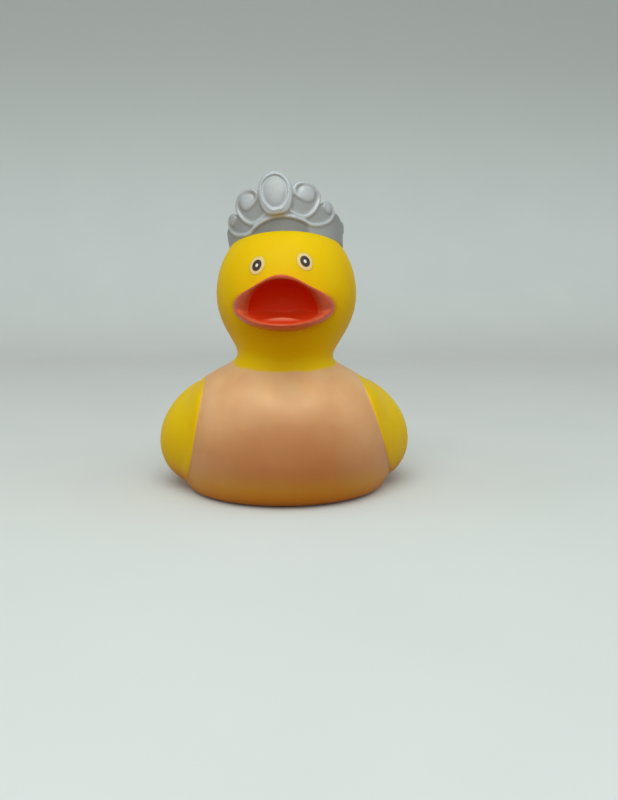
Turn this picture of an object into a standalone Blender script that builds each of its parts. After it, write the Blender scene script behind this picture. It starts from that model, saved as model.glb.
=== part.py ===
# Rubber duck with a crown: one hollow moulding of soft vinyl with a small vent hole in its flat base.
# Lengths are millimetres, turned into metres by MM, and angles are degrees.
# The duck faces -Y and +Z is up. Every form is a skin over rings of points. The forms are joined to
# the body by Boolean unions, and the hollow and its vent are then cut out.

import bpy
import bmesh
from math import pi, sin, cos, sqrt, radians
from mathutils import Vector, Matrix

MM = 0.001

# Wall of the moulding and the hole that its air goes through
WALL = 2.2
VENT_HOLE = 3.6

# Body: widths are across X, reaches run along Y from the middle of the body
BASE_WIDTH = 59.0
BASE_FRONT = 27.0
BASE_BACK = 32.0
BELLY_WIDTH = 71.0
BELLY_HEIGHT = 14.6
BREAST_REACH = 37.0
RUMP_REACH = 41.0
SHOULDER_RISE = 24.2
BREAST_RISE = 22.0
BACK_RISE = 19.0
NECK_WIDTH = 30.4
NECK_DEPTH = 31.0
NECK_HEIGHT = 44.1
NECK_SHIFT = -1.0
NECK_SHIFT_REACH = 5.0
# How far under the neck the body's slopes start to turn up into it
SIDE_NECK_DROP = 5.0
FRONT_NECK_DROP = 7.0
BACK_NECK_DROP = 11.0

# Head: its middle stands over the neck, and its axis stands forward of the body's
HEAD_FORWARD = 8.0
HEAD_TURN = 6.0
HEAD_WIDTH = 44.0
HEAD_DEPTH = 45.0
HEAD_OVER_NECK = 19.2
HEAD_RISE = 23.8

# Wings: how far they stand out past the belly, their leaf shape, and how their tops lean in
WING_STAND = 6.0
WING_THICKNESS = 29.0
WING_SETBACK = 14.0
WING_HEIGHT = 16.4
WING_HALF_HEIGHT = 16.5
WING_LEAN = 0.20
WING_TOP_LEAN = 0.06
WING_FRONT = 20.5
WING_BACK = 37.0
WING_TIP_LIFT = 8.0

# Tail: how far it goes out past the rump
TAIL_LENGTH = 9.0
TAIL_INSIDE = 24.0
TAIL_ROOT_HEIGHT = 20.1
TAIL_RISE = 18.0
TAIL_WIDTH = 38.0
TAIL_THICKNESS = 24.0

# Beak: lengths run forward from the front of the head
BEAK_WIDTH = 30.2
BEAK_BELOW_HEAD = 3.2
BEAK_UPPER_RISE = 9.7
BEAK_LOWER_DROP = 6.5
BEAK_UPPER_LENGTH = 12.0
BEAK_LOWER_LENGTH = 10.5
BEAK_CORNER_SETBACK = 4.0
MOUTH_WIDTH = 20.4
MOUTH_RISE = 8.5
MOUTH_DROP = 4.0
MOUTH_DEPTH = 11.0
MOUTH_CORNER = 5.0

# Crown: a flared ring that laps the head all round, leaning back, a little askew and turned
CROWN_WIDTH = 35.8
CROWN_FLARE = 0.1
CROWN_WALL = 2.6
CROWN_LAP = 0.9
CROWN_LEAN = 15.0
CROWN_ROLL = 6.5
CROWN_TURN = -4.2
CROWN_BAND = 5.6
CROWN_SINK = 2.5
RIM_ROUNDING = 0.7
SCROLL_WIRE = 0.85
SCROLL_START = -125.0
SCROLL_SWEEP = 430.0
SCROLL_CURL = 0.72
JEWEL_WIDTH = 10.2
JEWEL_HEIGHT = 13.4
JEWEL_RISE = 11.1
JEWEL_RELIEF = 2.0

# Rim arches on each side of the jewel: place along the face, height over the crown's edge, radius
SCROLLS = [(8.8, 9.2, 4.7), (16.1, 5.4, 3.7)]
SIDE_ARCH = (21.5, 2.2, 4.6)
BACK_WAVES = [(33.8, 2.0, 4.8), (45.0, 2.0, 4.8), (56.2, 2.0, 4.8)]

# Fineness of the skins; rows are counted from base to belly, to neck, to head and to the top
BODY_ROWS = (9, 12, 8, 9)
HOLLOW_ROWS = (5, 8, 5, 5)
BODY_STEPS = 40
HOLLOW_STEPS = 24
LIMB_STEPS = 20
WING_ROWS = 15
TAIL_ROWS = 12
BEAK_STEPS = 32
CROWN_STEPS = 88
SCROLL_ROWS = 22
SCROLL_STEPS = 6
JEWEL_STEPS = 28
VENT_STEPS = 20

HEAD_HEIGHT = NECK_HEIGHT + HEAD_OVER_NECK
SIDES = ((1, "left"), (-1, "right"))


def ring_skin(name, rings, looped=False):
    """Skin over rings of points in millimetres: closed by its two ends, or looped on itself."""
    bm = bmesh.new()
    rows = [[bm.verts.new(Vector(point) * MM) for point in ring] for ring in rings]
    pairs = list(zip(rows, rows[1:]))
    if looped:
        pairs.append((rows[-1], rows[0]))
    else:
        bm.faces.new(rows[0])
        bm.faces.new(rows[-1])
    for low, high in pairs:
        for i in range(len(low)):
            j = (i + 1) % len(low)
            bm.faces.new((low[i], low[j], high[j], high[i]))
    bmesh.ops.recalc_face_normals(bm, faces=bm.faces)
    mesh = bpy.data.meshes.new(name)
    bm.to_mesh(mesh)
    bm.free()
    piece = bpy.data.objects.new(name, mesh)
    bpy.context.scene.collection.objects.link(piece)
    return piece


def turns(count):
    """Angles once round a ring."""
    return [2.0 * pi * i / count for i in range(count)]


def bezier(a, b, c, d, t):
    s = 1.0 - t
    return s * s * s * a + 3.0 * s * s * t * b + 3.0 * s * t * t * c + t * t * t * d


def smooth(t):
    t = min(1.0, max(0.0, t))
    return t * t * (3.0 - 2.0 * t)


def combine(target, piece, operation):
    """Joins a piece to the target, or cuts it out; the piece itself is left out of the model."""
    piece.hide_render = True
    piece.display_type = "WIRE"
    step = target.modifiers.new(piece.name, "BOOLEAN")
    step.operation = operation
    step.solver = "EXACT"
    step.object = piece


# Body, neck and head in one skin

def side_outline(base, belly, neck, head, shoulder_rise, neck_drop, inset, rows):
    """Reach and height up one side: base, belly, shoulder, neck, cheek and top of the head."""
    over = HEAD_OVER_NECK
    points = []
    for i in range(rows[0]):
        t = i / rows[0] * pi / 2.0
        reach = base + (belly - base) * sin(t) ** 0.8
        points.append((reach - inset, inset + (BELLY_HEIGHT - inset) * (1.0 - cos(t))))
    for i in range(rows[1]):
        t = i / rows[1]
        height = bezier(BELLY_HEIGHT, BELLY_HEIGHT + shoulder_rise, NECK_HEIGHT - neck_drop, NECK_HEIGHT, t)
        points.append((bezier(belly, belly, neck, neck, t) - inset, height))
    for i in range(rows[2]):
        t = i / rows[2]
        height = bezier(NECK_HEIGHT, NECK_HEIGHT + 0.20 * over, NECK_HEIGHT + 0.48 * over, HEAD_HEIGHT, t)
        points.append((bezier(neck, neck, head, head, t) - inset, height))
    for i in range(rows[3]):
        t = i / rows[3] * pi / 2.0
        points.append(((head - inset) * cos(t), HEAD_HEIGHT + (HEAD_RISE - inset) * sin(t)))
    return points


def make_body(name, inset, steps, rows):
    """Rings from the flat base to the top of the head; the neck carries them forward."""
    neck = NECK_DEPTH / 2.0
    head = HEAD_DEPTH / 2.0
    side = side_outline(BASE_WIDTH / 2.0, BELLY_WIDTH / 2.0, NECK_WIDTH / 2.0, HEAD_WIDTH / 2.0,
                        SHOULDER_RISE, SIDE_NECK_DROP, inset, rows)
    front = side_outline(BASE_FRONT, BREAST_REACH, neck, head, BREAST_RISE, FRONT_NECK_DROP, inset, rows)
    back = side_outline(BASE_BACK, RUMP_REACH, neck, head, BACK_RISE, BACK_NECK_DROP, inset, rows)
    rings = []
    for row in range(len(side)):
        forward = HEAD_FORWARD * smooth((row - rows[0]) / rows[1])
        # The neck stands a little to one side
        away = (side[row][1] - NECK_HEIGHT + NECK_SHIFT_REACH) / NECK_SHIFT_REACH
        aside = NECK_SHIFT / (1.0 + away ** 4)
        ring = []
        for angle in turns(steps):
            reach, height = front[row] if sin(angle) < 0.0 else back[row]
            share = sin(angle) ** 2
            ring.append((side[row][0] * cos(angle) + aside,
                         reach * sin(angle) - forward,
                         side[row][1] * (1.0 - share) + height * share))
        rings.append(ring)
    return ring_skin(name, rings)


# Wings: leaf-shaped lobes, blunt in front and drawn to a lifted tip behind

WIDEST = 0.4
TIP_SETBACK = 1.75


def make_wing(name, side, inset):
    outer = BELLY_WIDTH / 2.0 + WING_STAND - inset
    length = WING_FRONT + WING_BACK - 3.0 * inset
    rings = []
    for row in range(1, WING_ROWS):
        along = inset - WING_FRONT + length * (1.0 - cos(pi * row / WING_ROWS)) / 2.0
        share = (along + WING_FRONT) / (WING_FRONT + WING_BACK)
        fullness = sin(pi * share ** 0.78)
        size = fullness ** 0.4 if share < WIDEST else fullness ** 0.75
        half_height = max(0.4, WING_HALF_HEIGHT * size - inset)
        half_thick = max(0.3, WING_THICKNESS / 2.0 * (0.35 + 0.65 * size) * size - inset)
        if share < WIDEST:
            bow = (1.0 - share / WIDEST) ** 2
        else:
            bow = TIP_SETBACK * ((share - WIDEST) / (1.0 - WIDEST)) ** 2
        centre = outer - WING_SETBACK * bow - half_thick
        lift = WING_HEIGHT + WING_TIP_LIFT * share ** 1.6
        ring = []
        for angle in turns(LIMB_STEPS):
            lean = WING_LEAN + WING_TOP_LEAN * sin(angle)
            aside = half_thick * cos(angle) - lean * half_height * sin(angle)
            ring.append((side * (centre + aside), along, lift + half_height * sin(angle)))
        rings.append(ring)
    return ring_skin(name, rings)


# Tail: a flattened horn that leaves the rump and turns up

def tail_path(t, inset):
    """Place along the tail's middle line, as distance behind the body's middle and height."""
    start = RUMP_REACH - TAIL_INSIDE
    end = RUMP_REACH + TAIL_LENGTH - inset
    bend = 0.6 * (end - start)
    tip = TAIL_ROOT_HEIGHT + TAIL_RISE - 1.5 * inset
    return Vector((bezier(start, start + bend, end - 0.12 * bend, end, t),
                   bezier(TAIL_ROOT_HEIGHT, TAIL_ROOT_HEIGHT, tip - 0.55 * TAIL_RISE, tip, t)))


def make_tail(name, inset):
    rings = []
    for row in range(TAIL_ROWS + 1):
        t = row / TAIL_ROWS
        middle = tail_path(t, inset)
        slope = (tail_path(t + 0.01, inset) - tail_path(t - 0.01, inset)).normalized()
        size = sqrt(1.0 - (0.99 * t) ** 2.6)
        half_width = max(0.5, TAIL_WIDTH / 2.0 * size * (1.0 - 0.50 * t) - inset)
        half_thick = max(0.4, TAIL_THICKNESS / 2.0 * size * (1.0 - 0.62 * t) - inset)
        ring = []
        for angle in turns(LIMB_STEPS):
            rise = half_thick * sin(angle)
            ring.append((half_width * cos(angle), middle.x - rise * slope.y, middle.y + rise * slope.x))
        rings.append(ring)
    return ring_skin(name, rings)


# Beak: flared lips round an open mouth, built about the head's own axis

def make_beak(name):
    half = BEAK_WIDTH / 2.0
    mouth = MOUTH_WIDTH / 2.0
    rise = BEAK_UPPER_RISE
    drop = BEAK_LOWER_DROP
    corner = HEAD_DEPTH / 2.0 - BEAK_CORNER_SETBACK
    inner = corner + MOUTH_CORNER
    upper = HEAD_DEPTH / 2.0 + BEAK_UPPER_LENGTH
    lower = HEAD_DEPTH / 2.0 + BEAK_LOWER_LENGTH
    # Half width, rise and drop, then the reach of the corners, the upper lip and the lower lip, and
    # how far the outline has gone from the lips' to the mouth's
    stations = [
        (0.66 * half, 0.30 * rise, 0.45 * drop, corner - 10.5, upper - 23.0, lower - 21.0, 0.0),
        (0.76 * half, 0.45 * rise, 0.62 * drop, corner - 5.5, upper - 14.5, lower - 13.5, 0.0),
        (0.88 * half, 0.68 * rise, 0.80 * drop, corner - 4.0, upper - 8.0, lower - 8.5, 0.0),
        (0.97 * half, 0.90 * rise, 0.95 * drop, corner - 3.6, upper - 4.2, lower - 5.5, 0.0),
        (half, 0.98 * rise, drop, corner - 2.0, upper - 2.0, lower - 3.8, 0.0),
        (0.985 * half, rise, 0.97 * drop, corner - 0.2, upper - 0.9, lower - 2.8, 0.0),
        (0.93 * half, 0.985 * rise, 0.87 * drop, corner + 2.2, upper - 0.1, lower - 2.0, 0.15),
        (0.42 * half + 0.54 * mouth, 0.46 * rise + 0.53 * MOUTH_RISE, 0.22 * drop + 0.71 * MOUTH_DROP,
         corner + 4.2, upper, lower - 0.2, 0.55),
        (mouth, MOUTH_RISE, MOUTH_DROP, inner, upper - 0.5, lower - 0.1, 1.0),
        (0.95 * mouth, 0.95 * MOUTH_RISE, 0.92 * MOUTH_DROP, inner - 0.8,
         upper - 0.3 * MOUTH_DEPTH, lower - 0.2 * MOUTH_DEPTH, 1.0),
        (0.78 * mouth, 0.78 * MOUTH_RISE, 0.74 * MOUTH_DROP, inner - 1.0,
         upper - 0.75 * MOUTH_DEPTH, lower - 0.55 * MOUTH_DEPTH, 1.0),
        (0.42 * mouth, 0.40 * MOUTH_RISE, 0.40 * MOUTH_DROP, inner - 0.6,
         upper - MOUTH_DEPTH, lower - 0.85 * MOUTH_DEPTH, 1.0),
    ]
    level = HEAD_HEIGHT - BEAK_BELOW_HEAD
    rings = []
    for width, up, down, at_corner, at_upper, at_lower, mouthward in stations:
        ring = []
        for angle in turns(BEAK_STEPS):
            bow = abs(sin(angle))
            swing = bow ** (1.1 + 0.9 * mouthward)
            if sin(angle) > 0.0:
                height = up * ((1.0 - mouthward) * (0.7 * bow + 0.3 * bow ** 10) + mouthward * bow ** 1.5)
                reach = at_corner + (at_upper - at_corner) * swing
            else:
                height = -down * ((1.0 - mouthward) * bow + mouthward * bow ** 1.5)
                reach = at_corner + (at_lower - at_corner) * swing
            ring.append((width * cos(angle), -reach, level + height))
        rings.append(ring)
    return ring_skin(name, rings)


# Crown: a flared ring with an arched rim, wire scrolls in relief and an oval jewel in front

def crown_point(along, height, proud):
    """Point over the crown's outer face, in the crown's own frame; the jewel is at 0 along it."""
    radius = CROWN_WIDTH / 2.0 + CROWN_FLARE * height + proud
    angle = along / (CROWN_WIDTH / 2.0)
    return Vector((radius * sin(angle), -radius * cos(angle), height))


def rim_height(place):
    """Top of the crown's wall: the plain band, raised in round arches."""
    arches = [(0.0, JEWEL_RISE - 0.5, JEWEL_WIDTH / 2.0 - 0.1)]
    for middle, height, radius in SCROLLS + [SIDE_ARCH] + BACK_WAVES:
        arches += [(middle, height, radius), (-middle, height, radius)]
    best = CROWN_BAND
    half_round = pi * CROWN_WIDTH / 2.0
    for middle, height, radius in arches:
        along = (place - middle + half_round) % (2.0 * half_round) - half_round
        if abs(along) < radius:
            best = max(best, height + sqrt(radius * radius - along * along))
    return best


def make_crown_ring(name):
    rings = []
    for angle in turns(CROWN_STEPS):
        along = angle * CROWN_WIDTH / 2.0
        top = rim_height(along)
        section = [(-CROWN_SINK, 0.0), (0.0, 0.0), (0.5 * top, 0.0), (top - RIM_ROUNDING, 0.0),
                   (top, -RIM_ROUNDING), (top, RIM_ROUNDING - CROWN_WALL), (top - RIM_ROUNDING, -CROWN_WALL),
                   (0.5 * top, -CROWN_WALL), (-CROWN_SINK, -CROWN_WALL - 1.0)]
        rings.append([crown_point(along, height, proud) for height, proud in section])
    return ring_skin(name, rings, looped=True)


def make_scroll(name, side, middle, height, radius):
    """Wire that runs up the outer side of an arch, over its top, and curls in to its middle."""
    rings = []
    for row in range(SCROLL_ROWS + 1):
        t = row / SCROLL_ROWS
        turn = radians(SCROLL_START + SCROLL_SWEEP * t)
        curl = (radius - 0.3) * (1.0 - SCROLL_CURL * smooth(t) ** 1.2)
        wire = SCROLL_WIRE * (0.75 + 0.25 * sin(pi * t))
        ring = []
        for around in turns(SCROLL_STEPS):
            out = curl + wire * cos(around)
            along = side * (middle + out * cos(turn))
            ring.append(crown_point(along, height + out * sin(turn), 0.2 + wire * sin(around)))
        rings.append(ring)
    return ring_skin(name, rings)


def make_jewel(name):
    """Oval stone in a raised rim, from its back inside the crown's wall to the top of the stone."""
    front = CROWN_WIDTH / 2.0 + CROWN_FLARE * JEWEL_RISE
    sections = [(0.88, 0.5 - CROWN_WALL), (1.0, -1.0), (1.0, 0.7 * JEWEL_RELIEF), (0.93, JEWEL_RELIEF),
                (0.82, JEWEL_RELIEF), (0.74, 0.62 * JEWEL_RELIEF), (0.5, 0.95 * JEWEL_RELIEF),
                (0.2, 1.12 * JEWEL_RELIEF)]
    rings = []
    for size, proud in sections:
        rings.append([(JEWEL_WIDTH / 2.0 * size * cos(angle), -front - proud,
                       JEWEL_RISE + JEWEL_HEIGHT / 2.0 * size * sin(angle))
                      for angle in turns(JEWEL_STEPS)])
    return ring_skin(name, rings)


def crown_seat():
    """Height over the head's middle at which the head is one lap narrower than the crown."""
    across = (CROWN_WIDTH / 2.0 - CROWN_LAP) / (HEAD_WIDTH / 2.0)
    return HEAD_RISE * sqrt(max(0.0, 1.0 - across * across))


def head_frame():
    return Matrix.Translation((0.0, -HEAD_FORWARD * MM, 0.0)) @ Matrix.Rotation(radians(-HEAD_TURN), 4, "Z")


def crown_frame():
    middle = Matrix.Translation((0.0, 0.0, HEAD_HEIGHT * MM))
    lean = Matrix.Rotation(radians(-CROWN_LEAN), 4, "X")
    seat = Matrix.Translation((0.0, 0.0, crown_seat() * MM))
    roll = Matrix.Rotation(radians(-CROWN_ROLL), 4, "Y")
    turn = Matrix.Rotation(radians(CROWN_TURN), 4, "Z")
    return head_frame() @ middle @ lean @ seat @ roll @ turn


def crown_pieces():
    pieces = [make_crown_ring("crown_ring")]
    for number, (middle, height, radius) in enumerate(SCROLLS):
        for side, word in SIDES:
            pieces.append(make_scroll("scroll_%d_%s" % (number + 1, word), side, middle, height, radius))
    pieces.append(make_jewel("jewel"))
    return pieces


# The air space: the same skins one wall further in, and the vent

def make_hollow():
    hollow = make_body("hollow", WALL, HOLLOW_STEPS, HOLLOW_ROWS)
    for side, word in SIDES:
        combine(hollow, make_wing("hollow_wing_" + word, side, WALL), "UNION")
    combine(hollow, make_tail("hollow_tail", WALL), "UNION")
    return hollow


def make_vent():
    rings = []
    for height in (-WALL, 3.0 * WALL):
        rings.append([(VENT_HOLE / 2.0 * cos(angle), VENT_HOLE / 2.0 * sin(angle), height)
                      for angle in turns(VENT_STEPS)])
    return ring_skin("vent", rings)


def stand_over_origin(duck, tail, beak):
    """Moves everything along Y until the origin is midway between the beak's tip and the tail's."""
    back = max(vertex.co.y for vertex in tail.data.vertices)
    front = min((beak.matrix_world @ vertex.co).y for vertex in beak.data.vertices)
    shift = Matrix.Translation((0.0, -(back + front) / 2.0, 0.0))
    for piece in bpy.context.scene.objects:
        piece.matrix_world = shift @ piece.matrix_world


def vinyl():
    material = bpy.data.materials.new("soft_vinyl")
    material.use_nodes = True
    surface = material.node_tree.nodes["Principled BSDF"]
    surface.inputs["Base Color"].default_value = (0.83, 0.55, 0.02, 1.0)
    surface.inputs["Roughness"].default_value = 0.42
    surface.inputs["Metallic"].default_value = 0.0
    return material


def main():
    for old in list(bpy.data.objects):
        bpy.data.objects.remove(old, do_unlink=True)
    duck = make_body("duck", 0.0, BODY_STEPS, BODY_ROWS)
    for side, word in SIDES:
        combine(duck, make_wing("wing_" + word, side, 0.0), "UNION")
    tail = make_tail("tail", 0.0)
    combine(duck, tail, "UNION")
    beak = make_beak("beak")
    beak.matrix_world = head_frame()
    combine(duck, beak, "UNION")
    for piece in crown_pieces():
        piece.matrix_world = crown_frame()
        combine(duck, piece, "UNION")
    combine(duck, make_hollow(), "DIFFERENCE")
    combine(duck, make_vent(), "DIFFERENCE")
    stand_over_origin(duck, tail, beak)
    duck.data.materials.append(vinyl())
    duck.data.shade_smooth()


main()
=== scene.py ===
# Rubber duck with a crown: the looks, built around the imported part.
# Sizes in the dictionaries are millimetres and angles are degrees; mm turns a size into metres.
# The duck faces -Y. Each form starts as a sphere, a ring or a curve and is then shaped.

import bpy
from math import pi, sin, cos, sqrt, exp, radians, acos, atan2
from mathutils import Vector, Matrix
from mathutils.bvhtree import BVHTree


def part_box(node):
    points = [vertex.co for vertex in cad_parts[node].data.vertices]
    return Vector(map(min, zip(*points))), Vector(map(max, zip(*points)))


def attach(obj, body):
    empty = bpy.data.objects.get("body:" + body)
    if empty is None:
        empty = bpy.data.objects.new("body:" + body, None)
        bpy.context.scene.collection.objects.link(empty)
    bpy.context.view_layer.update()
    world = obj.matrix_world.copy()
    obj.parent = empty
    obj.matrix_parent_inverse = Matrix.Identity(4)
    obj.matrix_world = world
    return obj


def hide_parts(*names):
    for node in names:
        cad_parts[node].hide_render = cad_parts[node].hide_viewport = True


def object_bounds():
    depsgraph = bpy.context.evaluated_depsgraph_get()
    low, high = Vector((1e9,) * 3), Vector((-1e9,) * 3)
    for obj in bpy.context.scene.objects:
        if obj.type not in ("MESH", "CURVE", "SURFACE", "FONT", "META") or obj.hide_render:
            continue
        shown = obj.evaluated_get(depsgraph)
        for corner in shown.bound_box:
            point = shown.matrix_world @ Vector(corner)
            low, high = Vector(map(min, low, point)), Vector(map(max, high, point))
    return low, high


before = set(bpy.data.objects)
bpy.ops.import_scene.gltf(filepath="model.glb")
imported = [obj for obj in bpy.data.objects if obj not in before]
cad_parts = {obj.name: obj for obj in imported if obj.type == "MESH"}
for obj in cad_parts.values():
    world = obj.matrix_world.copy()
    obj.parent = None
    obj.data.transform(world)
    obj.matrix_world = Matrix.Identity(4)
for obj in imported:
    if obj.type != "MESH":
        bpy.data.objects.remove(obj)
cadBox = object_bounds()
mm = 0.001
print("frame loaded")


# Small helpers

def deselectAll():
    for piece in bpy.context.selected_objects:
        piece.select_set(False)


def makeActive(piece):
    deselectAll()
    piece.select_set(True)
    bpy.context.view_layer.objects.active = piece


def bezier(a, b, c, d, t):
    s = 1.0 - t
    return s * s * s * a + 3.0 * s * s * t * b + 3.0 * s * t * t * c + t * t * t * d


def smooth(t):
    t = min(1.0, max(0.0, t))
    return t * t * (3.0 - 2.0 * t)


def alongPoints(points, t):
    # smooth curve through rows of numbers; t runs from 0 to 1
    place = min(max(t, 0.0), 1.0) * (len(points) - 1)
    i = min(int(place), len(points) - 2)
    u = place - i
    before = points[max(i - 1, 0)]
    after = points[min(i + 2, len(points) - 1)]
    mixed = []
    for a, b, c, d in zip(before, points[i], points[i + 1], after):
        mixed.append(0.5 * (2.0 * b + (c - a) * u + (2.0 * a - 5.0 * b + 4.0 * c - d) * u * u
                            + (3.0 * b - a - 3.0 * c + d) * u * u * u))
    return mixed


def shapedSphere(name, segments, rings, place):
    # a sphere whose rings are moved to place(row, angle), row 0 and row rings being its poles
    deselectAll()
    bpy.ops.mesh.primitive_uv_sphere_add(segments=segments, ring_count=rings, radius=1.0,
                                         location=(0, 0, 0))
    piece = bpy.context.object
    piece.name = name
    for vertex in piece.data.vertices:
        x, y, z = vertex.co
        row = round(acos(max(-1.0, min(1.0, -z))) / pi * rings)
        vertex.co = Vector(place(row, atan2(y, x))) * mm
    faceOutwards(piece)
    return piece


def faceOutwards(piece):
    makeActive(piece)
    bpy.ops.object.mode_set(mode="EDIT")
    bpy.ops.mesh.select_all(action="SELECT")
    bpy.ops.mesh.remove_doubles(threshold=0.001 * mm)
    bpy.ops.mesh.normals_make_consistent(inside=False)
    bpy.ops.object.mode_set(mode="OBJECT")


def joined(pieces):
    makeActive(pieces[0])
    for piece in pieces:
        piece.select_set(True)
    bpy.ops.object.join()
    return bpy.context.object


def applyNew(piece, name, kind, **settings):
    makeActive(piece)
    step = piece.modifiers.new(name, kind)
    for key, value in settings.items():
        setattr(step, key, value)
    bpy.ops.object.modifier_apply(modifier=step.name)


def fused(piece, voxel, rounds):
    # one even skin over all that the piece holds, with its creases eased
    applyNew(piece, "fuse", "REMESH", mode="VOXEL", voxel_size=voxel * mm, use_smooth_shade=True)
    if rounds:
        applyNew(piece, "ease", "SMOOTH", factor=0.5, iterations=rounds)


def moved(piece, matrix):
    piece.data.transform(matrix)
    piece.data.update()


def skinTree(piece):
    mesh = piece.data
    return BVHTree.FromPolygons([v.co for v in mesh.vertices], [tuple(p.vertices) for p in mesh.polygons])


def finished(piece, name, material):
    makeActive(piece)
    piece.name = name
    piece.data.name = name
    piece.data.materials.clear()
    piece.data.materials.append(material)
    bpy.ops.object.shade_smooth()
    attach(piece, "root")
    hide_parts("duck")


# Body, neck and head

body = dict(baseWidth=59.0, baseFront=27.0, baseBack=32.0, bellyWidth=71.0, bellyHeight=14.6,
            breastReach=37.0, rumpReach=41.0, shoulderRise=24.2, breastRise=22.0, backRise=19.0,
            neckWidth=30.4, neckDepth=31.0, neckHeight=44.1, sideShift=-1.0, shiftReach=5.0,
            sideNeckDrop=5.0, frontNeckDrop=7.0, backNeckDrop=11.0,
            headForward=8.0, headTurn=6.0, headWidth=44.0, headDepth=45.0, headOverNeck=19.2,
            headRise=23.8,
            breastSwells=[(-7.5, 32.5, 5.2, 1.1), (7.5, 34.0, 5.2, 1.1), (-0.3, 35.5, 3.8, -0.9)],
            wall=2.2, ventHole=3.6, segments=176, rows=(8, 30, 46, 34, 36), voxel=0.62,
            hollowSegments=64, hollowRows=(4, 10, 16, 12, 12), hollowVoxel=1.6)
headHeight = body["neckHeight"] + body["headOverNeck"]


def sideOutline(base, belly, neck, head, shoulderRise, neckDrop, inset, rows):
    # reach and height up one side: across the base, then to belly, shoulder, neck, cheek and top
    neckHeight = body["neckHeight"]
    bellyHeight = body["bellyHeight"]
    over = body["headOverNeck"]
    points = [((base - inset) * i / rows[0], inset) for i in range(rows[0])]
    for i in range(rows[1]):
        t = i / rows[1] * pi / 2.0
        reach = base + (belly - base) * sin(t) ** 0.8
        points.append((reach - inset, inset + (bellyHeight - inset) * (1.0 - cos(t))))
    for i in range(rows[2]):
        t = i / rows[2]
        height = bezier(bellyHeight, bellyHeight + shoulderRise, neckHeight - neckDrop, neckHeight, t)
        points.append((bezier(belly, belly, neck, neck, t) - inset, height))
    for i in range(rows[3]):
        t = i / rows[3]
        height = bezier(neckHeight, neckHeight + 0.20 * over, neckHeight + 0.48 * over, headHeight, t)
        points.append((bezier(neck, neck, head, head, t) - inset, height))
    for i in range(rows[4] + 1):
        t = i / rows[4] * pi / 2.0
        points.append(((head - inset) * cos(t), headHeight + (body["headRise"] - inset) * sin(t)))
    return points


def makeTrunk(name, inset, segments, rows):
    neck = body["neckDepth"] / 2.0
    head = body["headDepth"] / 2.0
    side = sideOutline(body["baseWidth"] / 2.0, body["bellyWidth"] / 2.0, body["neckWidth"] / 2.0,
                       body["headWidth"] / 2.0, body["shoulderRise"], body["sideNeckDrop"], inset, rows)
    front = sideOutline(body["baseFront"], body["breastReach"], neck, head, body["breastRise"],
                        body["frontNeckDrop"], inset, rows)
    back = sideOutline(body["baseBack"], body["rumpReach"], neck, head, body["backRise"],
                       body["backNeckDrop"], inset, rows)

    def place(row, angle):
        forward = body["headForward"] * smooth((row - rows[0] - rows[1]) / rows[2])
        reach, height = front[row] if sin(angle) < 0.0 else back[row]
        share = sin(angle) ** 2
        # the cast stands a little to one side under the neck
        away = (side[row][1] - body["neckHeight"] + body["shiftReach"]) / body["shiftReach"]
        aside = body["sideShift"] / (1.0 + away ** 4)
        return (side[row][0] * cos(angle) + aside,
                reach * sin(angle) - forward,
                side[row][1] * (1.0 - share) + height * share)

    return shapedSphere(name, segments, sum(rows), place)


wing = dict(stand=5.7, thickness=29.0, setback=14.0, height=16.4, halfHeight=16.5, lean=0.20, topLean=0.06,
            front=20.5, back=37.0, rake=5.5, step=0.6, tipLift=8.0, widest=0.4, tipSetback=1.75)


def makeWing(name, side, inset, segments, rings):
    outer = body["bellyWidth"] / 2.0 + wing["stand"] - inset
    length = wing["front"] + wing["back"] - 3.0 * inset
    widest = wing["widest"]

    def place(row, angle):
        along = inset - wing["front"] + length * (1.0 - cos(pi * row / rings)) / 2.0
        share = min(1.0, max(0.0, (along + wing["front"]) / (wing["front"] + wing["back"])))
        fullness = max(0.0, sin(pi * share ** 0.78))
        size = fullness ** 0.4 if share < widest else fullness ** 0.75
        halfHeight = max(0.0, wing["halfHeight"] * size - inset)
        halfThick = max(0.0, wing["thickness"] / 2.0 * (0.35 + 0.65 * size) * size - inset)
        if share < widest:
            bow = (1.0 - share / widest) ** 2
        else:
            bow = wing["tipSetback"] * ((share - widest) / (1.0 - widest)) ** 2
        middle = outer - wing["setback"] * bow - halfThick
        lift = wing["height"] + wing["tipLift"] * share ** 1.6
        lean = wing["lean"] + wing["topLean"] * sin(angle)
        aside = halfThick * cos(angle) - lean * halfHeight * sin(angle)
        forward = wing["rake"] * sin(angle) * size * (1.0 - smooth(share / widest))
        return (side * (middle + aside), along - forward, lift + halfHeight * sin(angle))

    return shapedSphere(name, segments, rings, place)


tail = dict(length=9.0, inside=24.0, rootHeight=20.1, rise=18.0, width=38.0, thickness=24.0)


def tailPath(t, inset):
    start = body["rumpReach"] - tail["inside"]
    end = body["rumpReach"] + tail["length"] - inset
    bend = 0.6 * (end - start)
    root = tail["rootHeight"]
    tip = root + tail["rise"] - 1.5 * inset
    return Vector((bezier(start, start + bend, end - 0.12 * bend, end, t),
                   bezier(root, root, tip - 0.55 * tail["rise"], tip, t)))


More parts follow.
